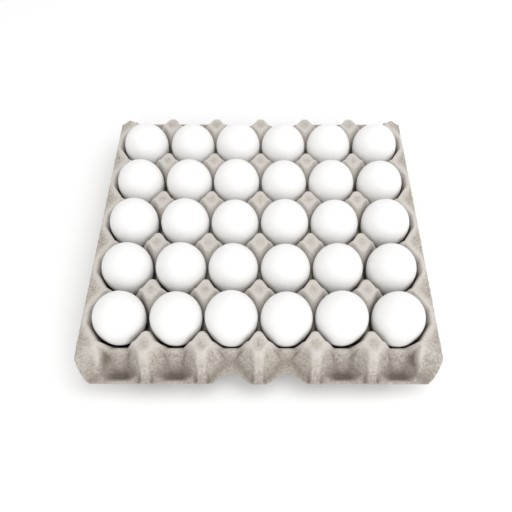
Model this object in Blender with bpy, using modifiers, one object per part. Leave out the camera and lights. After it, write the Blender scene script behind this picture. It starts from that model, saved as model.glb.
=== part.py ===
"""A thirty-cell moulded-pulp egg tray, six columns by five rows, with an egg standing in every cell.

The tray is one sheet of pulp of even thickness. Hollow posts, shaped as diamond-topped pyramids, stand
between the cells, low ridges join them, and each cell is an eight-sided pocket with a flat floor. Along
the two long sides the outer walls rise to a flat flange level with the posts. Across the front and the
back a skirt drops from the outer posts to a lower lip: ribs run down from the posts, with recessed bays
between them. Two bays of each skirt are arched, and the others end in a small pit behind the lip.

Units are metres, +Z is up, +X runs along the columns, and -Y is the front. The origin is at the middle
of the underside. Positions on the tray's surface are worked out as depths below the tops of the posts.
"""

import random
from math import copysign, cos, hypot, pi, radians, sin, sqrt

import bmesh
import bpy

MM = 0.001

# The grid of cells
COLUMNS = 6
ROWS = 5
PITCH_X = 47.5 * MM
PITCH_Y = 50.25 * MM
HALF_X = PITCH_X / 2
HALF_Y = PITCH_Y / 2
POST_LINE = ROWS * HALF_Y  # the outermost row of posts, from the middle

# The sheet
TRAY_HEIGHT = 44 * MM
SHEET = 1.6 * MM
POCKET_DEPTH = TRAY_HEIGHT - SHEET

# The diamond on top of a post: half its length along each axis, and half the width of each cut corner
FACET_X = 8.6 * MM
FACET_Y = 9.6 * MM
CUT_X = 1.2 * MM
CUT_Y = 3.0 * MM

# The ridges between neighbouring cells, and half their widths. The eggs stand closest along X, so the
# ridges that run along Y between them lie deeper than the ones that run along X.
RIDGE_X_DEPTH = 16 * MM
RIDGE_Y_DEPTH = 22 * MM
RIDGE_X_HALF = 1.6 * MM
RIDGE_Y_HALF = 1.8 * MM

# How far each wall of a pocket comes in for each metre down
POST_DRAFT = 0.21
DRAFT_X = 0.33
DRAFT_Y = 0.20
WALL_END = 37 * MM  # the depth where the walls turn into the floor
FLOOR_TURN = 6 * MM  # how far the floor's edge lies inside the walls' line

# The side flanges, which are a little wider apart at the front, and the wider cells beside them
RIM_MEAN = 150.2 * MM
RIM_SPREAD = 0.8 * MM
FLANGE_INSIDE = 26.6 * MM  # from a side cell's middle to the flange's inner edge
SIDE_EASE = 2.4 * MM  # how much wider a side cell is than the others
EDGE_WIDTH = 2.4 * MM
EDGE_DROP = 0.9 * MM

# The skirt across the front and the back: depths, and distances outward from the outer posts' line
LIP_DEPTH = 24.5 * MM
LIP_REACH = 27.2 * MM
RIB_REACH = 24.0 * MM
RIB_HALF = 4.6 * MM
BAY_TOP_HALF = 9.5 * MM  # half the level length of the ridge above a bay
BAY_HALF = 5.9 * MM
BAY_REACH = 9.6 * MM
FOOT_X = 14.7 * MM  # where the bay's foot line leaves the pit
FOOT_REACH = 19.2 * MM

# The pit at the bottom of a bay
PIT_DEPTH = 33.5 * MM
PIT_HALF = 3.5 * MM
PIT_BACK = 17.4 * MM
PIT_FRONT = 18.9 * MM
PIT_LIP_X = 10.5 * MM
PIT_LIP_REACH = 24.1 * MM

# The arched notch in the lip, in the two middle columns
ARCH_COLUMNS = (2, 3)
ARCH_TOP_DEPTH = 23 * MM
ARCH_TOP_HALF = 3.6 * MM
ARCH_TOP_REACH = 18.2 * MM
ARCH_FOOT_HALF = 16.4 * MM
CREASE_DEPTH = 22 * MM
CREASE_HALF = 3.4 * MM
CREASE_REACH = 8.2 * MM
CREASE_FOOT_X = 11.6 * MM
CREASE_FOOT_REACH = 18.6 * MM

# Each corner of the tray, from the flange down to the lip: the rim's outer edge and its inner edge, as
# (distance inside the flange's edge, distance outward from the posts' line, depth), then the foot of
# the bay's wall, as (distance from the cell's middle, distance outward). The front corners flare.
FRONT_CORNER = {
    "outer": ((-1.2, 13.5, 5), (1.5, 19.5, 12), (5.7, 25.1, 20), (8.7, 27.2, 24.5)),
    "inner": ((4.5, 8.5, 2), (4.1, 14.1, 8), (6.3, 19.7, 16), (10.5, 24.1, 24.5)),
    "wall_foot": (18.6, 22.2),
}
BACK_CORNER = {
    "outer": ((7.7, 8.8, 0.6), (8.2, 15.0, 8), (8.5, 21.0, 16), (8.7, 27.2, 24.5)),
    "inner": ((10.6, 6.4, 0.6), (11.6, 12.4, 8), (12.0, 18.2, 16), (12.5, 24.1, 24.5)),
    "wall_foot": (16.8, 21.8),
}
BROW_X = 12.8 * MM  # where the top of a corner bay's wall starts to fall to the ridge
BROW_REACH = 6.8 * MM
BROW_DEPTH = 1.5 * MM
BROW_END_X = 18.4 * MM
BROW_END_REACH = 4.6 * MM

# The eggs, each standing on its pointed end
EGG_RADIUS = 22.9 * MM
EGG_BLUNT = 25.2 * MM  # from the widest ring up to the blunt end
EGG_POINTED = 33.6 * MM  # from the widest ring down to the pointed end
EGG_GAP = 0.4 * MM  # between an egg and the posts that hold it
EGG_STEPS = 12
EGG_RINGS = 7
SIZE_SPREAD = 0.008
LEAN_BACK = radians(4.0)  # how far the front row's eggs lean away from the front
LEAN_INWARD = radians(2.0)  # how far the outermost columns' eggs lean towards the middle
LEAN_SPREAD = radians(1.2)
SEED = 30

# Joining the tray's faces
WELD_DISTANCE = 0.01 * MM
FLAT_ANGLE = radians(0.5)  # faces that turn less than this become one

PULP_COLOUR = (0.44, 0.41, 0.37, 1.0)
PULP_ROUGHNESS = 0.95
SHELL_COLOUR = (0.90, 0.89, 0.87, 1.0)
SHELL_ROUGHNESS = 0.55


def post_face():
    """The unit normal of a post's slanted face, and that face's distance from the cell's axis at the top."""
    run = FACET_X - CUT_Y
    rise = FACET_Y - CUT_X
    length = hypot(run, rise)
    normal = (rise / length, run / length)
    distance = normal[0] * (HALF_X - CUT_Y) + normal[1] * (HALF_Y - FACET_Y)
    return normal, distance


(NORMAL_X, NORMAL_Y), FACE_DISTANCE = post_face()


def ring(depth, inset=0.0):
    """A quarter of the pocket's eight-sided outline at a depth, from the X axis round to the Y axis."""
    face = FACE_DISTANCE - POST_DRAFT * depth - inset
    half_x = HALF_X - RIDGE_Y_HALF - DRAFT_X * (depth - RIDGE_Y_DEPTH) - inset
    half_y = HALF_Y - RIDGE_X_HALF - DRAFT_Y * (depth - RIDGE_X_DEPTH) - inset
    turn_y = (face - NORMAL_X * half_x) / NORMAL_Y
    turn_x = (face - NORMAL_Y * half_y) / NORMAL_X
    return [(half_x, 0, depth), (half_x, turn_y, depth), (turn_x, half_y, depth), (0, half_y, depth)]


# Where the pocket's walls begin: below the ridges, which end this far from the middle of their length
SADDLE_RING = ring(RIDGE_Y_DEPTH)[:2] + ring(RIDGE_X_DEPTH)[2:]
SADDLE_X = SADDLE_RING[2][0]
SADDLE_Y = SADDLE_RING[1][1]


def rim_half_width(y):
    """Half the distance between the two side flanges' outer edges."""
    return RIM_MEAN - RIM_SPREAD * y / POST_LINE


def eased(points):
    """The points moved outward by a side cell's extra width, except those on the cell's middle line."""
    return [(x + SIDE_EASE if x > 0 else x, y, depth) for x, y, depth in points]


def add_faces(sheet, origin, signs, faces):
    """Adds faces given in a corner's own axes, as (x, y, depth) outward from its origin."""
    for points in faces:
        corners = [
            sheet.verts.new((origin[0] + signs[0] * x, origin[1] + signs[1] * y, TRAY_HEIGHT - depth))
            for x, y, depth in points
        ]
        sheet.faces.new(corners)


def ridge_along_x(side):
    """Half of a ridge along X: its slope up to the post and its level part. Side is -1 within the cells."""
    edge = HALF_Y + side * RIDGE_X_HALF
    edge_end = (SADDLE_X if side < 0 else BAY_TOP_HALF, edge, RIDGE_X_DEPTH)
    middle_end = (SADDLE_X, HALF_Y, RIDGE_X_DEPTH)
    return [
        [(HALF_X - FACET_X, HALF_Y, 0), (HALF_X - FACET_X, HALF_Y + side * CUT_X, 0), edge_end, middle_end],
        [middle_end, edge_end, (0, edge, RIDGE_X_DEPTH), (0, HALF_Y, RIDGE_X_DEPTH)],
    ]


def ridge_along_y():
    """Half of a ridge along Y: its slope up to the post and its level part."""
    return [
        [
            (HALF_X, HALF_Y - FACET_Y, 0),
            (HALF_X - CUT_Y, HALF_Y - FACET_Y, 0),
            SADDLE_RING[1],
            (HALF_X, SADDLE_Y, RIDGE_Y_DEPTH),
        ],
        [(HALF_X, SADDLE_Y, RIDGE_Y_DEPTH), SADDLE_RING[1], SADDLE_RING[0], (HALF_X, 0, RIDGE_Y_DEPTH)],
    ]


def facet_quarter(side):
    """A quarter of a post's diamond top. Side is -1 for the quarter within the cells."""
    return [
        (HALF_X, HALF_Y, 0),
        (HALF_X - FACET_X, HALF_Y, 0),
        (HALF_X - FACET_X, HALF_Y + side * CUT_X, 0),
        (HALF_X - CUT_Y, HALF_Y + side * FACET_Y, 0),
        (HALF_X, HALF_Y + side * FACET_Y, 0),
    ]


def pocket_quarter():
    """The walls and the floor of a quarter of a cell, below the level of the ridges."""
    rings = [SADDLE_RING, ring(WALL_END), ring(POCKET_DEPTH, FLOOR_TURN)]
    faces = []
    for upper, lower in zip(rings, rings[1:]):
        for i in range(len(upper) - 1):
            faces.append([upper[i], upper[i + 1], lower[i + 1], lower[i]])
    faces.append([(0, 0, POCKET_DEPTH), *rings[-1]])
    return faces


def inner_quarter():
    """A quarter of a cell with a whole post at its corner."""
    post = [
        (HALF_X - FACET_X, HALF_Y - CUT_X, 0),
        (HALF_X - CUT_Y, HALF_Y - FACET_Y, 0),
        SADDLE_RING[1],
        SADDLE_RING[2],
    ]
    return [facet_quarter(-1), post, *ridge_along_x(-1), *ridge_along_y(), *pocket_quarter()]


def flange_quarter(rim_at_cell, rim_at_post):
    """A quarter of a side cell, whose outer wall rises to the flange. The rims are measured from the cell."""
    top_turn = (FLANGE_INSIDE, (FACE_DISTANCE - NORMAL_X * FLANGE_INSIDE) / NORMAL_Y, 0)
    top_middle = (FLANGE_INSIDE, 0, 0)
    low_middle, low_turn, low_shoulder = eased(SADDLE_RING[:3])
    shoulder = (HALF_X - FACET_X, HALF_Y - CUT_X, 0)
    flange = [
        (HALF_X - FACET_X, HALF_Y, 0),
        shoulder,
        top_turn,
        top_middle,
        (rim_at_cell - EDGE_WIDTH, 0, 0),
        (rim_at_post - EDGE_WIDTH, HALF_Y, 0),
    ]
    edge = [
        (rim_at_cell - EDGE_WIDTH, 0, 0),
        (rim_at_cell, 0, EDGE_DROP),
        (rim_at_post, HALF_Y, EDGE_DROP),
        (rim_at_post - EDGE_WIDTH, HALF_Y, 0),
    ]
    post = [shoulder, top_turn, low_turn, low_shoulder]
    wall = [top_middle, top_turn, low_turn, low_middle]
    below = [eased(points) for points in [*ridge_along_x(-1)[1:], *pocket_quarter()]]
    slope = ridge_along_x(-1)[0]
    return [flange, edge, post, wall, slope[:2] + eased(slope[2:]), *below]


def outward(points):
    """Points of the skirt, given as (x, distance outward from the outer posts' line, depth)."""
    return [(x, HALF_Y + reach, depth) for x, reach, depth in points]


def pit():
    """Half of the pit behind the lip."""
    bay_foot = (BAY_HALF, BAY_REACH, LIP_DEPTH)
    side_foot = (FOOT_X, FOOT_REACH, LIP_DEPTH)
    lip_corner = (PIT_LIP_X, PIT_LIP_REACH, LIP_DEPTH)
    back = (PIT_HALF, PIT_BACK, PIT_DEPTH)
    front = (PIT_HALF, PIT_FRONT, PIT_DEPTH)
    middle_back = (0, PIT_BACK, PIT_DEPTH)
    middle_front = (0, PIT_FRONT, PIT_DEPTH)
    return [
        outward([(0, BAY_REACH, LIP_DEPTH), bay_foot, back, middle_back]),
        outward([bay_foot, side_foot, back]),
        outward([side_foot, lip_corner, front, back]),
        outward([lip_corner, (0, PIT_LIP_REACH, LIP_DEPTH), middle_front, front]),
        outward([middle_back, back, front, middle_front]),
    ]


def rib_side(foot_points):
    """The slanted side of a rib, from the post's diamond down to three points of its foot."""
    rib_foot, middle_foot, bay_foot = foot_points
    shoulder = (HALF_X - FACET_X, CUT_X, 0)
    saddle_end = (BAY_TOP_HALF, RIDGE_X_HALF, RIDGE_X_DEPTH)
    return [
        outward([shoulder, (HALF_X - CUT_Y, FACET_Y, 0), rib_foot, middle_foot]),
        outward([shoulder, middle_foot, bay_foot, saddle_end]),
    ]


def rib_front():
    """Half of the front of a rib, from the cut corner of the diamond down to the lip."""
    return outward(
        [
            (HALF_X, FACET_Y, 0),
            (HALF_X - CUT_Y, FACET_Y, 0),
            (HALF_X - RIB_HALF, RIB_REACH, LIP_DEPTH),
            (HALF_X, RIB_REACH, LIP_DEPTH),
        ]
    )


def bay_back(foot_half, foot_reach, foot_depth, ease=0.0):
    """Half of the middle of a bay, from the ridge down to its foot."""
    return outward(
        [
            (0, RIDGE_X_HALF, RIDGE_X_DEPTH),
            (BAY_TOP_HALF + ease, RIDGE_X_HALF, RIDGE_X_DEPTH),
            (foot_half, foot_reach, foot_depth),
            (0, foot_reach, foot_depth),
        ]
    )


def pit_bay():
    """Half of a bay that ends in a pit, with half of the rib beside it."""
    rib_foot = (HALF_X - RIB_HALF, RIB_REACH, LIP_DEPTH)
    middle_foot = (FOOT_X, FOOT_REACH, LIP_DEPTH)
    bay_foot = (BAY_HALF, BAY_REACH, LIP_DEPTH)
    lip = [
        middle_foot,
        rib_foot,
        (HALF_X, RIB_REACH, LIP_DEPTH),
        (HALF_X, LIP_REACH, LIP_DEPTH),
        (0, LIP_REACH, LIP_DEPTH),
        (0, PIT_LIP_REACH, LIP_DEPTH),
        (PIT_LIP_X, PIT_LIP_REACH, LIP_DEPTH),
    ]
    return [
        facet_quarter(1),
        *ridge_along_x(1),
        rib_front(),
        *rib_side((rib_foot, middle_foot, bay_foot)),
        bay_back(BAY_HALF, BAY_REACH, LIP_DEPTH),
        *pit(),
        outward(lip),
    ]


def arch_bay():
    """Half of an arched bay, with half of the rib beside it."""
    rib_foot = (HALF_X - RIB_HALF, RIB_REACH, LIP_DEPTH)
    middle_foot = (CREASE_FOOT_X, CREASE_FOOT_REACH, LIP_DEPTH)
    crease = (CREASE_HALF, CREASE_REACH, CREASE_DEPTH)
    arch_top = (ARCH_TOP_HALF, ARCH_TOP_REACH, ARCH_TOP_DEPTH)
    arch_foot = (ARCH_FOOT_HALF, LIP_REACH, LIP_DEPTH)
    middle = [(0, CREASE_REACH, CREASE_DEPTH), crease, arch_top, (0, ARCH_TOP_REACH, ARCH_TOP_DEPTH)]
    lip = [middle_foot, rib_foot, (HALF_X, RIB_REACH, LIP_DEPTH), (HALF_X, LIP_REACH, LIP_DEPTH), arch_foot]
    return [
        facet_quarter(1),
        *ridge_along_x(1),
        rib_front(),
        *rib_side((rib_foot, middle_foot, crease)),
        bay_back(CREASE_HALF, CREASE_REACH, CREASE_DEPTH),
        outward(middle),
        outward([crease, middle_foot, arch_foot]),
        outward([crease, arch_foot, arch_top]),
        outward(lip),
    ]


def corner_bay(rim, corner):
    """The outer half of a corner bay, and the rim that turns down round it from the flange to the lip."""
    outer = [(rim - inside * MM, reach * MM, depth * MM) for inside, reach, depth in corner["outer"]]
    inner = [(rim - inside * MM, reach * MM, depth * MM) for inside, reach, depth in corner["inner"]]
    wall_foot = (corner["wall_foot"][0] * MM, corner["wall_foot"][1] * MM, LIP_DEPTH)
    post_middle = (HALF_X - FACET_X, 0, 0)
    shoulder = (HALF_X - FACET_X, CUT_X, 0)
    saddle_end = (BAY_TOP_HALF + SIDE_EASE, RIDGE_X_HALF, RIDGE_X_DEPTH)
    brow = (BROW_X, BROW_REACH, BROW_DEPTH)
    brow_end = (BROW_END_X, BROW_END_REACH, 0)
    flange_edge = (rim - EDGE_WIDTH, 0, 0)
    bay_foot = (BAY_HALF, BAY_REACH, LIP_DEPTH)
    middle_foot = (FOOT_X, FOOT_REACH, LIP_DEPTH)
    top_faces = [
        [post_middle, shoulder, brow, brow_end],
        [post_middle, brow_end, flange_edge],
        [brow_end, inner[0], flange_edge],
        [inner[0], outer[0], (rim, 0, EDGE_DROP), flange_edge],
        [shoulder, saddle_end, brow],
    ]
    wall_faces = [
        [saddle_end, brow, middle_foot, bay_foot],
        [brow, brow_end, wall_foot, middle_foot],
        [brow_end, inner[0], inner[1]],
        [brow_end, inner[1], wall_foot],
        [inner[1], inner[2], wall_foot],
        [inner[2], inner[3], wall_foot],
    ]
    rim_faces = [[inner[i], outer[i], outer[i + 1], inner[i + 1]] for i in range(len(inner) - 1)]
    lip = [
        middle_foot,
        wall_foot,
        inner[3],
        outer[3],
        (0, LIP_REACH, LIP_DEPTH),
        (0, PIT_LIP_REACH, LIP_DEPTH),
        (PIT_LIP_X, PIT_LIP_REACH, LIP_DEPTH),
    ]
    faces = [outward(points) for points in [*top_faces, *wall_faces, *rim_faces, lip]]
    slope, level = ridge_along_x(1)
    ridge = [slope[:2] + eased(slope[2:]), eased(level)]
    return [*ridge, bay_back(BAY_HALF, BAY_REACH, LIP_DEPTH, SIDE_EASE), *faces, *pit()]


def add_cells(sheet):
    for column in range(COLUMNS):
        x = (column - (COLUMNS - 1) / 2) * PITCH_X
        for row in range(ROWS):
            y = (row - (ROWS - 1) / 2) * PITCH_Y
            for side in (-1, 1):
                outer = column == (0 if side < 0 else COLUMNS - 1)
                for end in (-1, 1):
                    rim_at_cell = rim_half_width(y) - abs(x)
                    rim_at_post = rim_half_width(y + end * HALF_Y) - abs(x)
                    faces = flange_quarter(rim_at_cell, rim_at_post) if outer else inner_quarter()
                    add_faces(sheet, (x, y), (side, end), faces)


def add_skirts(sheet):
    for end in (-1, 1):
        y = end * (POST_LINE - HALF_Y)
        for column in range(COLUMNS):
            x = (column - (COLUMNS - 1) / 2) * PITCH_X
            for side in (-1, 1):
                if column == (0 if side < 0 else COLUMNS - 1):
                    corner = FRONT_CORNER if end < 0 else BACK_CORNER
                    faces = corner_bay(rim_half_width(end * POST_LINE) - abs(x), corner)
                elif column in ARCH_COLUMNS:
                    faces = arch_bay()
                else:
                    faces = pit_bay()
                add_faces(sheet, (x, y), (side, end), faces)


def make_tray():
    """The tray: its upper surface joined from quarters, with the sheet's thickness added below it."""
    sheet = bmesh.new()
    add_cells(sheet)
    add_skirts(sheet)
    bmesh.ops.remove_doubles(sheet, verts=sheet.verts, dist=WELD_DISTANCE)
    bmesh.ops.recalc_face_normals(sheet, faces=sheet.faces)
    if sum(face.normal.z * face.calc_area() for face in sheet.faces) < 0:
        bmesh.ops.reverse_faces(sheet, faces=sheet.faces)
    bmesh.ops.dissolve_limit(
        sheet, angle_limit=FLAT_ANGLE, use_dissolve_boundaries=False, verts=sheet.verts, edges=sheet.edges
    )
    mesh = bpy.data.meshes.new("tray")
    sheet.to_mesh(mesh)
    sheet.free()
    tray = bpy.data.objects.new("tray", mesh)
    solidify = tray.modifiers.new("Sheet", "SOLIDIFY")
    solidify.thickness = SHEET
    solidify.offset = -1.0
    solidify.use_even_offset = True
    return tray


def egg_profile(size):
    """The egg's outline at +X, from the blunt end on top down to the pointed end."""
    points = []
    for i in range(EGG_RINGS + 1):
        angle = pi * i / EGG_RINGS
        reach = EGG_BLUNT if cos(angle) > 0 else EGG_POINTED
        points.append((size * EGG_RADIUS * sin(angle), 0.0, size * reach * cos(angle)))
    points[0] = (0.0, 0.0, size * EGG_BLUNT)
    points[-1] = (0.0, 0.0, -size * EGG_POINTED)
    return points


def seat_depth(size, back, inward):
    """How deep the egg's widest ring sits when its lower half clears the posts' faces by the gap."""
    lean = abs(inward) * NORMAL_X + abs(back) * NORMAL_Y
    support = size * sqrt(EGG_RADIUS**2 + (POST_DRAFT * EGG_POINTED) ** 2)
    leaning = lean * POST_DRAFT * (EGG_POINTED**2 - EGG_RADIUS**2) / support
    return (FACE_DISTANCE - support - leaning - EGG_GAP * sqrt(1 + POST_DRAFT**2)) / POST_DRAFT


def make_egg(name, place, size, tilt):
    profile = egg_profile(size)
    mesh = bpy.data.meshes.new(name)
    mesh.from_pydata(profile, [(i, i + 1) for i in range(len(profile) - 1)], [])
    egg = bpy.data.objects.new(name, mesh)
    egg.location = place
    egg.rotation_euler = tilt
    screw = egg.modifiers.new("Turn", "SCREW")
    screw.steps = EGG_STEPS
    screw.render_steps = EGG_STEPS
    screw.use_merge_vertices = True
    screw.merge_threshold = 0.0001
    screw.use_smooth_shade = True
    return egg


def make_eggs():
    """Thirty eggs of slightly unequal size, each leaning a little its own way."""
    chance = random.Random(SEED)
    eggs = []
    for row in range(ROWS):
        y = (row - (ROWS - 1) / 2) * PITCH_Y
        for column in range(COLUMNS):
            x = (column - (COLUMNS - 1) / 2) * PITCH_X
            size = 1 + chance.uniform(-SIZE_SPREAD, SIZE_SPREAD)
            back = (LEAN_BACK if row == 0 else 0) + chance.uniform(-LEAN_SPREAD, LEAN_SPREAD)
            inward = LEAN_INWARD * x / (COLUMNS * HALF_X) + chance.uniform(-LEAN_SPREAD, LEAN_SPREAD)
            height = TRAY_HEIGHT - seat_depth(size, back, inward)
            if column in (0, COLUMNS - 1):
                x += copysign(SIDE_EASE / 2, x)
            tilt = (-back, -inward, chance.uniform(0, 2 * pi))
            eggs.append(make_egg(f"egg_{row + 1}_{column + 1}", (x, y, height), size, tilt))
    return eggs


def make_material(name, colour, roughness):
    material = bpy.data.materials.new(name)
    material.use_nodes = True
    shader = material.node_tree.nodes["Principled BSDF"]
    shader.inputs["Base Color"].default_value = colour
    shader.inputs["Roughness"].default_value = roughness
    shader.inputs["Metallic"].default_value = 0.0
    return material


def main():
    for obj in list(bpy.data.objects):
        bpy.data.objects.remove(obj)
    collection = bpy.data.collections.new("egg_tray")
    bpy.context.scene.collection.children.link(collection)

    pulp = make_material("moulded_pulp", PULP_COLOUR, PULP_ROUGHNESS)
    shell = make_material("egg_shell", SHELL_COLOUR, SHELL_ROUGHNESS)
    tray = make_tray()
    tray.data.materials.append(pulp)
    collection.objects.link(tray)
    for egg in make_eggs():
        egg.data.materials.append(shell)
        collection.objects.link(egg)


main()
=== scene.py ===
"""A moulded-pulp egg tray with thirty white hens' eggs, dressed for a studio picture.

The tray is one closed shell. Its upper side is surveyed from the solid model by plumb lines, rounded as
wet pulp rounds over a mould, and given the small things that the mould leaves: pressed blocks at the
ribs' feet, pin marks, a groove along the flanges and a deckled edge. The underside follows the upper side
one sheet's thickness away. A Geometry Nodes tree then adds the roughness of drained pulp. The eggs come
from another tree, and loose fibres from a third.

Units are metres, +Z is up and -Y is the front.
"""

from math import copysign, radians

import bpy
import numpy as np
from mathutils import Euler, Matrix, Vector
from mathutils.bvhtree import BVHTree


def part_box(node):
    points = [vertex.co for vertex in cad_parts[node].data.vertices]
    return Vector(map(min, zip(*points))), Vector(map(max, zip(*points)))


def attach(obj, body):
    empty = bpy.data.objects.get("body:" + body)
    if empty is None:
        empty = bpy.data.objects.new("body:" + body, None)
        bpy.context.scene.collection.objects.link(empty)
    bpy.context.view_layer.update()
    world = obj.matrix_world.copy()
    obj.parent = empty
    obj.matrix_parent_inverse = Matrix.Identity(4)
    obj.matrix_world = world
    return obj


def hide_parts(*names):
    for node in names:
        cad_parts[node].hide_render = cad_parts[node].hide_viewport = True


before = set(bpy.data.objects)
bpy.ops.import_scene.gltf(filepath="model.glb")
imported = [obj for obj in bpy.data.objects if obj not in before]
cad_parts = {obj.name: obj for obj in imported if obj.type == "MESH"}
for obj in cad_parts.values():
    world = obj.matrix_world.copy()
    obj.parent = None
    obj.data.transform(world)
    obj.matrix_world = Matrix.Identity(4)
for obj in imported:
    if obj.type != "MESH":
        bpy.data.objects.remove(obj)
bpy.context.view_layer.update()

MM = 0.001

# The tray as it is laid out
COLUMNS = 6
ROWS = 5
PITCH_X = 47.5 * MM
PITCH_Y = 50.25 * MM
POST_LINE = ROWS * PITCH_Y / 2
TRAY_TOP = 44 * MM
SHEET = 1.6 * MM
NOTCH_START = 8 * MM  # from here out, the surface is drawn in to follow the arches
NICK_Y = 108.5 * MM  # where a chip is missing from the right flange's edge
CRACK = ((-43, -145.5), (-41, -149), (-37.5, -153))  # across the front lip, in millimetres

# The survey of the tray's upper side
SURVEY_STEP = 0.5 * MM
CELL_ROUNDING = 0.5 * MM
SKIRT_ROUNDING = 0.8 * MM
MESH_STEP = 0.8 * MM
TRAY_TRIANGLES = 190000

# The ridges between the cells: how deep their middles lie, and how wide their crests are
RIDGE_X_DEPTH = 16 * MM
RIDGE_Y_DEPTH = 22 * MM
CREST_HALF = 1.6 * MM

EGG_WIDEST = 33.6 / 58.8  # how far up the egg its widest ring is
EGG_FULLER = 1.015  # the solid egg's rings lie just above and below its widest place
CUP_GAP = 0.6 * MM  # between an egg and the pulp that has settled round it


def linear(colour):
    """An sRGB hex colour as linear red, green, blue and alpha."""
    parts = [int(colour[i : i + 2], 16) / 255 for i in (1, 3, 5)]
    return (*[p / 12.92 if p <= 0.04045 else ((p + 0.055) / 1.055) ** 2.4 for p in parts], 1.0)


def add(tree, kind, inputs=None, **settings):
    """Adds a node, sets its properties, and sets or links its inputs by name or number."""
    node = tree.nodes.new(kind)
    for name, value in settings.items():
        setattr(node, name, value)
    for socket, value in (inputs or {}).items():
        if isinstance(value, bpy.types.NodeSocket):
            tree.links.new(value, node.inputs[socket])
        else:
            node.inputs[socket].default_value = value
    return node


def smoothstep(low, high, value):
    """0 below low, 1 above high, with a smooth turn between."""
    t = np.clip((value - low) / (high - low), 0, 1)
    return t * t * (3 - 2 * t)


# Surveying the solid tray


def plumb(tree, x, y):
    """The height of the upper surface at a place, or None beside the tray."""
    hit = tree.ray_cast(Vector((x, y, 1.0)), Vector((0, 0, -1)))[0]
    return None if hit is None else hit.z


def edge_along(tree, inside, outside, count=12):
    """The last place on the way from inside to outside that is still over the tray."""
    near = Vector(inside)
    far = Vector(outside)
    for _ in range(count):
        middle = (near + far) / 2
        if plumb(tree, middle.x, middle.y) is None:
            far = middle
        else:
            near = middle
    return near


def survey(tree, low, high):
    """Heights of the upper surface on an even grid, with NaN beside the tray."""
    xs = np.arange(low[0] - SURVEY_STEP, high[0] + 2 * SURVEY_STEP, SURVEY_STEP)
    ys = np.arange(low[1] - SURVEY_STEP, high[1] + 2 * SURVEY_STEP, SURVEY_STEP)
    heights = np.full((len(ys), len(xs)), np.nan)
    for j, y in enumerate(ys):
        for i, x in enumerate(xs):
            height = plumb(tree, x, y)
            if height is not None:
                heights[j, i] = height
    return xs, ys, heights


def blur(field, sigma):
    """A Gaussian blur over the survey's grid, with sigma in metres."""
    reach = max(1, int(3 * sigma / SURVEY_STEP))
    offsets = np.arange(-reach, reach + 1)
    weights = np.exp(-0.5 * (offsets * SURVEY_STEP / sigma) ** 2)
    weights /= weights.sum()
    for axis in (0, 1):
        pad = [(0, 0), (0, 0)]
        pad[axis] = (reach, reach)
        padded = np.pad(field, pad, mode="edge")
        size = field.shape[axis]
        field = sum(w * np.take(padded, range(k, k + size), axis) for k, w in enumerate(weights))
    return field


def rounded(heights, sigma):
    """The surface blurred over itself alone, carried on a little beyond its edge."""
    known = np.isfinite(heights)
    weight = blur(known.astype(float), sigma)
    total = blur(np.where(known, heights, 0.0), sigma)
    return np.where(weight > 1e-4, total / np.maximum(weight, 1e-4), np.nan)


def carried_on(heights):
    """The surface with the ground beside it filled in from its nearest edge."""
    filled = heights.copy()
    for _ in range(24):
        empty = ~np.isfinite(filled)
        if not empty.any():
            break
        total = np.zeros_like(filled)
        count = np.zeros_like(filled)
        for axis, step in ((0, 1), (0, -1), (1, 1), (1, -1)):
            moved = np.roll(filled, step, axis)
            known = np.isfinite(moved)
            total += np.where(known, moved, 0.0)
            count += known
        fill = empty & (count > 0)
        filled[fill] = total[fill] / count[fill]
    return np.where(np.isfinite(filled), filled, np.nanmin(heights))


def sheet_below(heights):
    """The underside: as far down as a ball of the sheet's radius, rolled under the surface, allows."""
    reach = int(SHEET / SURVEY_STEP) + 1
    below = np.full_like(heights, np.inf)
    for j in range(-reach, reach + 1):
        for i in range(-reach, reach + 1):
            inside = SHEET**2 - (i * i + j * j) * SURVEY_STEP**2
            if inside < 0:
                continue
            moved = np.roll(np.roll(heights, j, 0), i, 1)
            below = np.minimum(below, moved - np.sqrt(inside))
    return below


def sampler(xs, ys, field):
    """A function that reads the field anywhere, in between its points as well."""

    def read(x, y):
        u = np.clip((x - xs[0]) / SURVEY_STEP, 0, len(xs) - 1.001)
        v = np.clip((y - ys[0]) / SURVEY_STEP, 0, len(ys) - 1.001)
        i = u.astype(int)
        j = v.astype(int)
        u -= i
        v -= j
        low = field[j, i] * (1 - u) + field[j, i + 1] * u
        high = field[j + 1, i] * (1 - u) + field[j + 1, i + 1] * u
        return low * (1 - v) + high * v

    return read


# What the mould leaves on the tray


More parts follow.
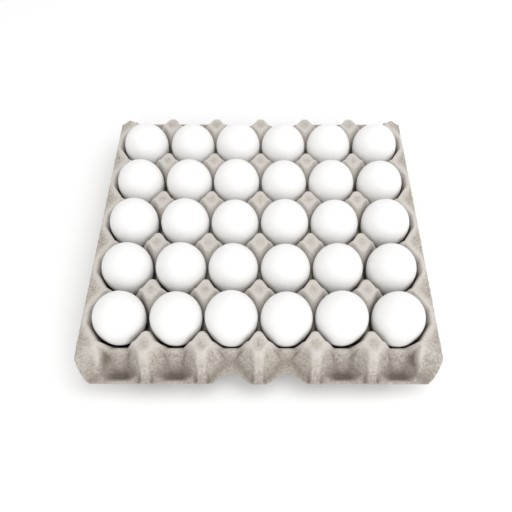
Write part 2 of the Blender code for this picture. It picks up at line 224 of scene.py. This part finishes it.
def mould_marks(x, y, rim):
    """How far the surface stands above the plain form at each place, in metres."""
    reach = np.abs(y) - POST_LINE
    marks = np.zeros_like(x)
    for column in range(1, COLUMNS):
        across = (x - (column - COLUMNS / 2) * PITCH_X) / MM
        along = reach / MM - 21.6
        block = (1 - smoothstep(3.0, 4.0, np.abs(across))) * (1 - smoothstep(3.6, 4.8, np.abs(along)))
        recess = np.exp(-(((np.abs(across + 0.4) - 5.4) / 0.9) ** 2)) * (1 - smoothstep(3.2, 5.2, np.abs(along)))
        split = np.exp(-((np.abs(across) - 1.7) ** 2) / 0.25) * smoothstep(-0.4, 0.8, along)
        dot = np.exp(-(across**2 + (along + 2.2) ** 2) / 0.7)
        marks += (1.9 * block - 1.6 * recess - 1.0 * split * block - 1.2 * dot) * MM
    groove = np.exp(-(((rim - np.abs(x)) / MM - 3.4) ** 2) / 0.5) * (1 - smoothstep(-1, 3, reach / MM))
    marks -= 0.3 * MM * groove
    for (x0, y0), (x1, y1) in zip(CRACK, CRACK[1:]):
        along = ((x / MM - x0) * (x1 - x0) + (y / MM - y0) * (y1 - y0)) / ((x1 - x0) ** 2 + (y1 - y0) ** 2)
        along = np.clip(along, 0, 1)
        off = np.hypot(x / MM - x0 - along * (x1 - x0), y / MM - y0 - along * (y1 - y0))
        marks -= 0.8 * MM * np.exp(-((off / 0.5) ** 2))
    return marks


def ridge_height(x, y):
    """The soft ridges that join the posts: crests that sag between them, with sides that fall away."""
    column = np.abs((x / PITCH_X + COLUMNS / 2) % 1 - 0.5) * PITCH_X / MM
    row = np.abs((y / PITCH_Y + ROWS / 2) % 1 - 0.5) * PITCH_Y / MM
    off_row_line = PITCH_Y / 2 - row * MM
    off_column_line = PITCH_X / 2 - column * MM
    sag_x = RIDGE_X_DEPTH * (1 - smoothstep(5.5, 15.5, column))
    sag_y = RIDGE_Y_DEPTH * (1 - smoothstep(5.0, 16.0, row))
    side_x = (2.2 + 2.8 * smoothstep(8, 14, column)) * np.maximum(off_row_line - CREST_HALF, 0)
    side_y = (2.2 + 2.8 * smoothstep(8, 14, row)) * np.maximum(off_column_line - CREST_HALF, 0)
    along_x = TRAY_TOP - sag_x - side_x
    along_y = np.where(np.abs(y) < POST_LINE, TRAY_TOP - sag_y - side_y, 0)
    return np.where(np.abs(x) < (COLUMNS / 2 - 0.5) * PITCH_X, np.maximum(along_x, along_y), along_x)


def egg_form(name):
    """An egg's widest ring's middle, its axis, its radius, and its length up and down from there."""
    points = [v.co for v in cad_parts[name].data.vertices]
    foot = min(points, key=lambda p: p.z).copy()
    crown = max(points, key=lambda p: p.z).copy()
    axis = (crown - foot).normalized()
    length = (crown - foot).length
    ring = foot + axis * (length * EGG_WIDEST)
    radius = EGG_FULLER * max(((p - ring) - axis * (p - ring).dot(axis)).length for p in points)
    return ring, axis, radius, length * (1 - EGG_WIDEST), length * EGG_WIDEST


def cup_height(x, y):
    """How high the pulp can come at each place under the eggs. It is infinite where there is no egg."""
    height = np.full_like(x, np.inf)
    for row in range(1, ROWS + 1):
        for column in range(1, COLUMNS + 1):
            ring, axis, radius, _, pointed = egg_form(f"egg_{row}_{column}")
            axis = np.array(axis)
            along = np.outer(axis, axis)
            shape = (np.eye(3) - along) / (radius + CUP_GAP) ** 2 + along / (pointed + CUP_GAP) ** 2
            dx = x - ring.x
            dy = y - ring.y
            b = shape[0, 2] * dx + shape[1, 2] * dy
            c = shape[0, 0] * dx**2 + 2 * shape[0, 1] * dx * dy + shape[1, 1] * dy**2 - 1
            inside = b**2 - shape[2, 2] * c
            under = ring.z - (b + np.sqrt(np.maximum(inside, 0))) / shape[2, 2]
            height = np.where(inside > 0, np.minimum(height, under), height)
    return height


# Building the tray's shell


def outline(tree):
    """The tray's half-width for each row of the grid, and the skirt's reach for each column."""
    low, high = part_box("tray")
    rows = np.linspace(low[1] + 0.02 * MM, high[1] - 0.02 * MM, round((high[1] - low[1]) / MESH_STEP))
    left = np.array([edge_along(tree, (-0.13, y, 0), (-0.17, y, 0)).x for y in rows])
    right = np.array([edge_along(tree, (0.13, y, 0), (0.17, y, 0)).x for y in rows])
    across = np.arange(-1.1 * PITCH_X, 1.1 * PITCH_X, 0.25 * MM)
    inner = POST_LINE + NOTCH_START
    front = np.array([-edge_along(tree, (x, -inner, 0), (x, -0.17, 0)).y for x in across])
    back = np.array([edge_along(tree, (x, inner, 0), (x, 0.17, 0)).y for x in across])
    weights = np.exp(-0.5 * (np.arange(-16, 17) * 0.25 / 1.1) ** 2)
    weights /= weights.sum()
    reaches = []
    for edge in (front, back):
        edge = np.minimum(edge, high[1] - 0.02 * MM)
        reaches.append(np.convolve(np.pad(edge, 16, mode="edge"), weights, mode="valid"))
    return rows, left, right, across, reaches


def shell_of(top, bottom, middle):
    """One closed mesh from two grids of points and the ring that joins their edges."""
    rows, columns = top.shape[:2]
    count = rows * columns
    index = np.arange(count).reshape(rows, columns)
    quads = np.stack([index[:-1, :-1], index[:-1, 1:], index[1:, 1:], index[1:, :-1]], axis=-1).reshape(-1, 4)
    ring = np.concatenate([index[0, :-1], index[:-1, -1], index[-1, :0:-1], index[:0:-1, 0]])
    joint = np.arange(len(ring)) + 2 * count
    following = np.roll(ring, -1)
    joint_next = np.roll(joint, -1)
    upper_band = np.stack([ring, joint, joint_next, following], axis=-1)
    lower_band = np.stack([joint, ring + count, following + count, joint_next], axis=-1)
    faces = np.concatenate([quads, quads[:, ::-1] + count, upper_band, lower_band])
    points = np.concatenate([top.reshape(-1, 3), bottom.reshape(-1, 3), middle.reshape(-1, 3)[ring]])
    mesh = bpy.data.meshes.new("pulp_tray")
    mesh.from_pydata(points.tolist(), [], faces.tolist())
    mesh.update()
    return mesh


def make_tray_shell(solid):
    """The tray's rounded shell, before the pulp's own roughness."""
    tree = BVHTree.FromPolygons([v.co for v in solid.data.vertices], [p.vertices for p in solid.data.polygons])
    low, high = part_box("tray")
    xs, ys, heights = survey(tree, low, high)
    rows, left, right, across, (front, back) = outline(tree)
    grid_x, grid_y = np.meshgrid(xs, ys)
    skirt = smoothstep(POST_LINE + 1 * MM, POST_LINE + 8 * MM, np.abs(grid_y))
    soft = rounded(heights, CELL_ROUNDING) * (1 - skirt) + rounded(heights, SKIRT_ROUNDING) * skirt
    rim = np.interp(grid_y, rows, (right - left) / 2)
    cup = cup_height(grid_x, grid_y)
    upper = np.maximum(carried_on(soft), np.minimum(ridge_height(grid_x, grid_y), cup))
    upper = blur(np.minimum(upper, cup), 0.35 * MM) + mould_marks(grid_x, grid_y, rim)
    lower = sheet_below(upper)
    # How far each place stands above or sinks below the surface around it. The pulp material uses it to paint shade
    # into hollows, pits and cups, and a highlight onto crests and post tops.
    painted_light_relief = (upper - blur(upper, 5 * MM)) / (5 * MM)
    read_upper = sampler(xs, ys, upper)
    read_lower = sampler(xs, ys, lower)
    read_painted_light_relief = sampler(xs, ys, np.clip(painted_light_relief, -1, 1))

    columns = np.linspace(-1, 1, round((high[0] - low[0]) / MESH_STEP))
    u, v = np.meshgrid(columns, rows)
    chance = np.random.default_rng(11)
    wear_left = np.convolve(chance.uniform(0, 0.5, len(rows)), [0.25, 0.5, 0.25], mode="same") * MM
    wear_right = np.convolve(chance.uniform(0, 0.5, len(rows)), [0.25, 0.5, 0.25], mode="same") * MM
    wear_right += 1.3 * MM * np.exp(-(((rows - NICK_Y) / (1.3 * MM)) ** 2))

    def spread(inset):
        """The grid's places when its edge lies this far inside the outline."""
        x = np.where(u < 0, -u * (left + wear_left + inset)[:, None], u * (right - wear_right - inset)[:, None])
        reach = np.where(v < 0, np.interp(x, across, front), np.interp(x, across, back))
        start = POST_LINE + NOTCH_START
        full = rows[-1] - start
        beyond = np.maximum(np.abs(v) - start, 0) / full
        y = np.where(beyond > 0, np.copysign(start + beyond * (reach - inset - start), v), v)
        return x, y

    x, y = spread(0.45 * MM)
    top = np.stack([x, y, read_upper(x, y)], axis=-1)
    bottom = np.stack([x, y, np.maximum(read_lower(x, y), low[2])], axis=-1)
    x, y = spread(0.08 * MM)
    middle = np.stack([x, y, (top[..., 2] + bottom[..., 2]) / 2], axis=-1)
    mesh = shell_of(top, bottom, middle)
    # Kept on the upper side as an attribute that drives the painted shade and the painted highlight.
    painted_light_values = np.zeros(len(mesh.vertices))
    painted_light_values[: x.size] = read_painted_light_relief(top[..., 0], top[..., 1]).ravel()
    mesh.attributes.new("painted_light_relief", "FLOAT", "POINT").data.foreach_set("value", painted_light_values)
    return mesh


# Geometry Nodes


def new_tree(name, inputs):
    """A Geometry Nodes tree that takes a mesh and the named inputs, as (name, kind, value), and gives a mesh."""
    tree = bpy.data.node_groups.new(name, "GeometryNodeTree")
    tree.interface.new_socket("Geometry", in_out="INPUT", socket_type="NodeSocketGeometry")
    for label, kind, value in inputs:
        socket = tree.interface.new_socket(label, in_out="INPUT", socket_type=kind)
        if value is not None:
            socket.default_value = value
    tree.interface.new_socket("Geometry", in_out="OUTPUT", socket_type="NodeSocketGeometry")
    return tree, tree.nodes.new("NodeGroupInput").outputs, tree.nodes.new("NodeGroupOutput").inputs


def grown(mesh, tree, values, name):
    """The plain mesh that a tree makes from a mesh, as a new object."""
    maker = bpy.data.objects.new("maker", mesh)
    bpy.context.scene.collection.objects.link(maker)
    modifier = maker.modifiers.new("Maker", "NODES")
    modifier.node_group = tree
    sockets = {i.name: i.identifier for i in tree.interface.items_tree if i.in_out == "INPUT"}
    for label, value in values.items():
        modifier[sockets[label]] = value
    bpy.context.view_layer.update()
    result = bpy.data.meshes.new_from_object(maker.evaluated_get(bpy.context.evaluated_depsgraph_get()))
    maker.modifiers.remove(modifier)
    bpy.data.objects.remove(maker)
    result.name = name
    piece = bpy.data.objects.new(name, result)
    bpy.context.scene.collection.objects.link(piece)
    return piece


def pulp_relief_tree():
    """Sinks a surface by three sizes of roughness: the mould's unevenness, clumps of pulp and screen grain."""
    length = "NodeSocketFloat"
    sizes = [("Dent size", 13 * MM), ("Dent depth", 0.16 * MM), ("Clump size", 4.5 * MM)]
    sizes += [("Clump depth", 0.14 * MM), ("Grain size", 1.9 * MM), ("Grain depth", 0.16 * MM)]
    inputs = [(label, length, value) for label, value in sizes]
    tree, given, out = new_tree("Pulp relief", [*inputs, ("Material", "NodeSocketMaterial", None)])
    place = add(tree, "GeometryNodeInputPosition").outputs[0]
    depth = None
    for label, detail in (("Dent", 1.0), ("Clump", 2.0), ("Grain", 2.0)):
        scale = add(tree, "ShaderNodeMath", {0: 1.0, 1: given[f"{label} size"]}, operation="DIVIDE").outputs[0]
        pattern = add(tree, "ShaderNodeTexNoise", {"Vector": place, "Scale": scale, "Detail": detail})
        sunk = add(tree, "ShaderNodeMath", {0: pattern.outputs[0], 1: given[f"{label} depth"]}, operation="MULTIPLY")
        depth = sunk.outputs[0] if depth is None else add(tree, "ShaderNodeMath", {0: depth, 1: sunk.outputs[0]}).outputs[0]
    inward = add(tree, "ShaderNodeMath", {0: depth, 1: -1.0}, operation="MULTIPLY").outputs[0]
    normal = add(tree, "GeometryNodeInputNormal").outputs[0]
    offset = add(tree, "ShaderNodeVectorMath", {0: normal, "Scale": inward}, operation="SCALE").outputs[0]
    moved = add(tree, "GeometryNodeSetPosition", {"Geometry": given["Geometry"], "Offset": offset}).outputs[0]
    smooth = add(tree, "GeometryNodeSetShadeSmooth", {0: moved, "Shade Smooth": True}).outputs[0]
    whole = add(tree, "GeometryNodeRealizeInstances", {0: smooth}).outputs[0]
    painted = add(tree, "GeometryNodeSetMaterial", {"Geometry": whole, "Material": given["Material"]})
    tree.links.new(painted.outputs[0], out[0])
    return tree


def fibre_tree():
    """Scatters short loose fibres over the upper side of a pulp surface, each lying along it."""
    length = "NodeSocketFloat"
    inputs = [("Fibre length", length, 2.4 * MM), ("Fibre width", length, 0.16 * MM), ("Density", length, 9000.0)]
    inputs += [("Half extent", length, 147 * MM), ("Material", "NodeSocketMaterial", None)]
    tree, given, out = new_tree("Loose fibres", inputs)
    place = add(tree, "ShaderNodeSeparateXYZ", {0: add(tree, "GeometryNodeInputPosition").outputs[0]}).outputs
    normal = add(tree, "ShaderNodeSeparateXYZ", {0: add(tree, "GeometryNodeInputNormal").outputs[0]}).outputs
    upward = add(tree, "ShaderNodeMath", {0: normal[2], 1: 0.3}, operation="GREATER_THAN").outputs[0]
    inner = upward
    for axis in (0, 1):
        off = add(tree, "ShaderNodeMath", {0: place[axis]}, operation="ABSOLUTE").outputs[0]
        near = add(tree, "ShaderNodeMath", {0: off, 1: given["Half extent"]}, operation="LESS_THAN").outputs[0]
        inner = add(tree, "ShaderNodeMath", {0: inner, 1: near}, operation="MULTIPLY").outputs[0]
    scattered = add(tree, "GeometryNodeDistributePointsOnFaces", {"Mesh": given["Geometry"], "Selection": inner,
                                                                  "Density": given["Density"], "Seed": 4}).outputs
    size = add(tree, "ShaderNodeCombineXYZ", {0: given["Fibre length"], 1: given["Fibre width"],
                                              2: given["Fibre width"]}).outputs[0]
    fibre = add(tree, "GeometryNodeMeshCube", {"Size": size}).outputs[0]
    turn = add(tree, "FunctionNodeRandomValue", {2: 0.0, 3: 6.2832, "Seed": 9}, data_type="FLOAT").outputs[1]
    spin = add(tree, "ShaderNodeCombineXYZ", {2: turn}).outputs[0]
    facing = add(tree, "FunctionNodeRotateEuler", {"Rotation": scattered["Rotation"], "Rotate By": spin},
                 rotation_type="EULER", space="LOCAL").outputs[0]
    scale = add(tree, "FunctionNodeRandomValue", {2: 0.4, 3: 1.0, "Seed": 2}, data_type="FLOAT").outputs[1]
    laid = add(tree, "GeometryNodeInstanceOnPoints", {"Points": scattered["Points"], "Instance": fibre,
                                                      "Rotation": facing, "Scale": scale}).outputs[0]
    whole = add(tree, "GeometryNodeRealizeInstances", {0: laid}).outputs[0]
    painted = add(tree, "GeometryNodeSetMaterial", {"Geometry": whole, "Material": given["Material"]})
    tree.links.new(painted.outputs[0], out[0])
    return tree


def egg_tree():
    """An egg with its widest ring at the origin: two half-ellipsoids that flow into each other."""
    length = "NodeSocketFloat"
    sizes = [("Radius", 22 * MM), ("Blunt end", 25 * MM), ("Pointed end", 32 * MM), ("Unevenness", 0.25 * MM)]
    inputs = [(label, length, value) for label, value in sizes]
    inputs += [("Seed", length, 0.0), ("Material", "NodeSocketMaterial", None)]
    tree, given, out = new_tree("Hen's egg", inputs)
    ball = add(tree, "GeometryNodeMeshIcoSphere", {"Radius": 1.0, "Subdivisions": 5}).outputs[0]
    place = add(tree, "GeometryNodeInputPosition").outputs[0]
    split = add(tree, "ShaderNodeSeparateXYZ", {0: place}).outputs
    upper = add(tree, "ShaderNodeMapRange", {"Value": split[2], "From Min": -0.3, "From Max": 0.3,
                                             "To Min": given["Pointed end"], "To Max": given["Blunt end"]},
                interpolation_type="SMOOTHSTEP").outputs[0]
    height = add(tree, "ShaderNodeMath", {0: split[2], 1: upper}, operation="MULTIPLY").outputs[0]
    across = [add(tree, "ShaderNodeMath", {0: split[i], 1: given["Radius"]}, operation="MULTIPLY").outputs[0] for i in (0, 1)]
    shaped = add(tree, "ShaderNodeCombineXYZ", {0: across[0], 1: across[1], 2: height}).outputs[0]
    formed = add(tree, "GeometryNodeSetPosition", {"Geometry": ball, "Position": shaped}).outputs[0]
    drift = add(tree, "ShaderNodeCombineXYZ", {0: given["Seed"], 1: given["Seed"], 2: given["Seed"]}).outputs[0]
    place = add(tree, "ShaderNodeVectorMath", {0: place, 1: drift}, operation="ADD").outputs[0]
    wave = add(tree, "ShaderNodeTexNoise", {"Vector": place, "Scale": 1.3, "Detail": 0.0}).outputs[0]
    sunk = add(tree, "ShaderNodeMath", {0: wave, 1: given["Unevenness"]}, operation="MULTIPLY").outputs[0]
    inward = add(tree, "ShaderNodeMath", {0: sunk, 1: -1.0}, operation="MULTIPLY").outputs[0]
    normal = add(tree, "GeometryNodeInputNormal").outputs[0]
    offset = add(tree, "ShaderNodeVectorMath", {0: normal, "Scale": inward}, operation="SCALE").outputs[0]
    uneven = add(tree, "GeometryNodeSetPosition", {"Geometry": formed, "Offset": offset}).outputs[0]
    smooth = add(tree, "GeometryNodeSetShadeSmooth", {0: uneven, "Shade Smooth": True}).outputs[0]
    whole = add(tree, "GeometryNodeRealizeInstances", {0: smooth}).outputs[0]
    painted = add(tree, "GeometryNodeSetMaterial", {"Geometry": whole, "Material": given["Material"]})
    tree.links.new(painted.outputs[0], out[0])
    return tree


# Materials


def new_material(name):
    """A material with a Principled shader, and the place on the piece that its patterns read."""
    material = bpy.data.materials.new(name)
    material.use_nodes = True
    tree = material.node_tree
    place = add(tree, "ShaderNodeTexCoord").outputs["Object"]
    return material, tree, tree.nodes["Principled BSDF"].inputs, place


def pulp_material():
    """Recycled paper pulp, drained on a screen mould and dried.

    It is warm grey and quite matt, mottled where the fibres clump, with specks of ink and of white fibre. Shade is
    painted darker into its hollows, and a painted highlight lightens its crests.
    """
    material, tree, shader, place = new_material("moulded_pulp")
    clumps = add(tree, "ShaderNodeTexNoise", {"Vector": place, "Scale": 420.0, "Detail": 4.0, "Roughness": 0.7}).outputs[0]
    tone = add(tree, "ShaderNodeValToRGB", {0: clumps})
    tone.color_ramp.elements[0].position = 0.36
    tone.color_ramp.elements[0].color = linear("#978F86")
    tone.color_ramp.elements[1].position = 0.64
    tone.color_ramp.elements[1].color = linear("#C2BCB4")
    broad = add(tree, "ShaderNodeTexNoise", {"Vector": place, "Scale": 28.0, "Detail": 2.0}).outputs[0]
    drift = add(tree, "ShaderNodeMapRange", {"Value": broad, "From Min": 0.3, "From Max": 0.7, "To Min": 0.0, "To Max": 0.3}).outputs[0]
    warm = add(tree, "ShaderNodeMix", {0: drift, 6: tone.outputs[0], 7: linear("#B0A799")}, data_type="RGBA").outputs[2]
    flecks = add(tree, "ShaderNodeTexNoise", {"Vector": place, "Scale": 900.0, "Detail": 1.0}).outputs[0]
    dark = add(tree, "ShaderNodeMapRange", {"Value": flecks, "From Min": 0.66, "From Max": 0.72, "To Min": 0.0, "To Max": 0.8}).outputs[0]
    inked = add(tree, "ShaderNodeMix", {0: dark, 6: warm, 7: linear("#5D5246")}, data_type="RGBA").outputs[2]
    painted_light_relief = add(tree, "ShaderNodeAttribute", attribute_name="painted_light_relief").outputs["Fac"]
    # Painted shade: the pulp darkens where the surface sinks below its surroundings, in hollows, pits and cups, where
    # shade falls.
    low = add(tree, "ShaderNodeMapRange", {"Value": painted_light_relief, "From Min": -0.05, "From Max": -0.8, "To Max": 0.9}).outputs[0]
    # Painted highlight: the pulp lightens where the surface stands above its surroundings, on crests and post tops that
    # catch the light from above.
    high = add(tree, "ShaderNodeMapRange", {"Value": painted_light_relief, "From Min": 0.15, "From Max": 0.9, "To Max": 0.75}).outputs[0]
    # Mixes in the painted shade colour in the hollows.
    painted_hollow_shade = add(tree, "ShaderNodeMix", {0: low, 6: inked, 7: linear("#7A7067")}, data_type="RGBA").outputs[2]
    # Mixes in the painted highlight colour on the crests.
    painted_crest_highlight = add(tree, "ShaderNodeMix", {0: high, 6: painted_hollow_shade, 7: linear("#D3CEC8")}, data_type="RGBA").outputs[2]
    tree.links.new(painted_crest_highlight, shader["Base Color"])
    grain = add(tree, "ShaderNodeTexNoise", {"Vector": place, "Scale": 700.0, "Detail": 4.0, "Roughness": 0.7}).outputs[0]
    felt = add(tree, "ShaderNodeBump", {"Strength": 0.6, "Distance": 0.35 * MM, "Height": grain}).outputs[0]
    lumps = add(tree, "ShaderNodeBump", {"Strength": 0.5, "Distance": 0.8 * MM, "Height": clumps, "Normal": felt}).outputs[0]
    tree.links.new(lumps, shader["Normal"])
    shader["Roughness"].default_value = 0.95
    shader["IOR"].default_value = 1.5
    shader["Specular IOR Level"].default_value = 0.25
    return material


def fibre_material():
    """Bleached paper fibre that didn't break down in the pulp: off-white to straw-coloured, and dull."""
    material, tree, shader, place = new_material("paper_fibre")
    shade = add(tree, "ShaderNodeTexNoise", {"Vector": place, "Scale": 240.0, "Detail": 1.0}).outputs[0]
    tone = add(tree, "ShaderNodeValToRGB", {0: shade})
    tone.color_ramp.elements[0].position = 0.42
    tone.color_ramp.elements[0].color = linear("#8F8474")
    tone.color_ramp.elements[1].position = 0.58
    tone.color_ramp.elements[1].color = linear("#D2CCC2")
    tree.links.new(tone.outputs[0], shader["Base Color"])
    fuzz = add(tree, "ShaderNodeBump", {"Strength": 0.4, "Distance": 0.1 * MM, "Height": shade}).outputs[0]
    tree.links.new(fuzz, shader["Normal"])
    shader["Roughness"].default_value = 0.9
    shader["IOR"].default_value = 1.5
    return material


def shell_material():
    """A white hen's egg shell: calcite crystals under a thin dry skin.

    It is off-white with a soft, broad sheen, finely pored, and lets a little light in.
    """
    material, tree, shader, place = new_material("egg_shell")
    cloud = add(tree, "ShaderNodeTexNoise", {"Vector": place, "Scale": 60.0, "Detail": 3.0}).outputs[0]
    tone = add(tree, "ShaderNodeValToRGB", {0: cloud})
    tone.color_ramp.elements[0].position = 0.3
    tone.color_ramp.elements[0].color = linear("#F0EFEE")
    tone.color_ramp.elements[1].position = 0.7
    tone.color_ramp.elements[1].color = linear("#F4F3F2")
    tree.links.new(tone.outputs[0], shader["Base Color"])
    pores = add(tree, "ShaderNodeTexNoise", {"Vector": place, "Scale": 800.0, "Detail": 3.0}).outputs[0]
    skin = add(tree, "ShaderNodeBump", {"Strength": 0.15, "Distance": 0.2 * MM, "Height": pores}).outputs[0]
    tree.links.new(skin, shader["Normal"])
    gloss = add(tree, "ShaderNodeMapRange", {"Value": cloud, "To Min": 0.5, "To Max": 0.62}).outputs[0]
    tree.links.new(gloss, shader["Roughness"])
    shader["IOR"].default_value = 1.5
    shader["Specular IOR Level"].default_value = 0.3
    shader["Subsurface Weight"].default_value = 0.15
    shader["Subsurface Radius"].default_value = (1.0, 0.8, 0.6)
    shader["Subsurface Scale"].default_value = 1.5 * MM
    return material


# Making the pieces


def make_tray(pulp):
    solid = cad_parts["tray"]
    shell = make_tray_shell(solid)
    tray = grown(shell, pulp_relief_tree(), {"Material": pulp}, "pulp_tray")
    triangles = 2 * len(tray.data.polygons)
    if triangles > TRAY_TRIANGLES:
        thin = tray.modifiers.new("Thin", "DECIMATE")
        thin.ratio = TRAY_TRIANGLES / triangles
        bpy.context.view_layer.update()
        thinned = bpy.data.meshes.new_from_object(tray.evaluated_get(bpy.context.evaluated_depsgraph_get()))
        tray.modifiers.remove(thin)
        tray.data = thinned
    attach(tray, "root")
    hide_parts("tray")
    return tray


def make_fibres(tray, paper):
    fibres = grown(tray.data.copy(), fibre_tree(), {"Material": paper}, "loose_fibres")
    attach(fibres, "root")


def make_eggs(shell):
    tree = egg_tree()
    chance = np.random.default_rng(7)
    for row in range(1, ROWS + 1):
        for column in range(1, COLUMNS + 1):
            name = f"egg_{row}_{column}"
            ring, axis, radius, blunt, pointed = egg_form(name)
            values = {"Radius": radius, "Blunt end": blunt, "Pointed end": pointed}
            values["Seed"] = float(chance.uniform(0, 50))
            values["Material"] = shell
            egg = grown(bpy.data.meshes.new("seed"), tree, values, f"shell_{row}_{column}")
            turn = Vector((0, 0, 1)).rotation_difference(axis).to_matrix().to_4x4()
            turn.translation = ring
            egg.data.transform(turn)
            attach(egg, "root")
            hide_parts(name)


# The studio


def make_studio():
    floor_mesh = bpy.data.meshes.new("floor")
    floor_mesh.from_pydata([(-3, -3, 0), (3, -3, 0), (3, 3, 0), (-3, 3, 0)], [], [(0, 1, 2, 3)])
    floor = bpy.data.objects.new("floor", floor_mesh)
    bpy.context.scene.collection.objects.link(floor)
    material, tree, shader, place = new_material("white_floor")
    shader["Base Color"].default_value = linear("#FCFCFC")
    shader["Roughness"].default_value = 0.9
    floor.data.materials.append(material)

    world = bpy.data.worlds.new("studio")
    world.use_nodes = True
    world.node_tree.nodes["Background"].inputs[0].default_value = (1, 1, 1, 1)
    world.node_tree.nodes["Background"].inputs[1].default_value = 0.8
    bpy.context.scene.world = world

    lamp = bpy.data.lights.new("softbox", "AREA")
    lamp.shape = "DISK"
    lamp.size = 1.2
    lamp.energy = 5
    softbox = bpy.data.objects.new("softbox", lamp)
    softbox.location = (0.45, 0.1, 1.2)
    softbox.rotation_euler = (-softbox.location).to_track_quat("-Z", "Y").to_euler()
    bpy.context.scene.collection.objects.link(softbox)

    panel = bpy.data.lights.new("front_fill", "AREA")
    panel.shape = "DISK"
    panel.size = 1.4
    panel.energy = 7
    fill = bpy.data.objects.new("front_fill", panel)
    fill.location = (0.35, -1.3, 0.75)
    fill.rotation_euler = (-fill.location).to_track_quat("-Z", "Y").to_euler()
    bpy.context.scene.collection.objects.link(fill)

    lens = bpy.data.cameras.new("camera")
    lens.lens = 38.2
    lens.sensor_width = 36
    lens.shift_x = -0.01975
    lens.clip_start = 0.01
    camera = bpy.data.objects.new("camera", lens)
    camera.location = (0.00593, -0.30691, 0.4607)
    camera.rotation_euler = Euler((radians(32.5315), radians(-0.0607), radians(0.0645)), "XYZ")
    bpy.context.scene.collection.objects.link(camera)
    bpy.context.scene.camera = camera
    bpy.context.scene.view_settings.view_transform = "Standard"


make_studio()
pulp_tray = make_tray(pulp_material())
make_fibres(pulp_tray, fibre_material())
make_eggs(shell_material())
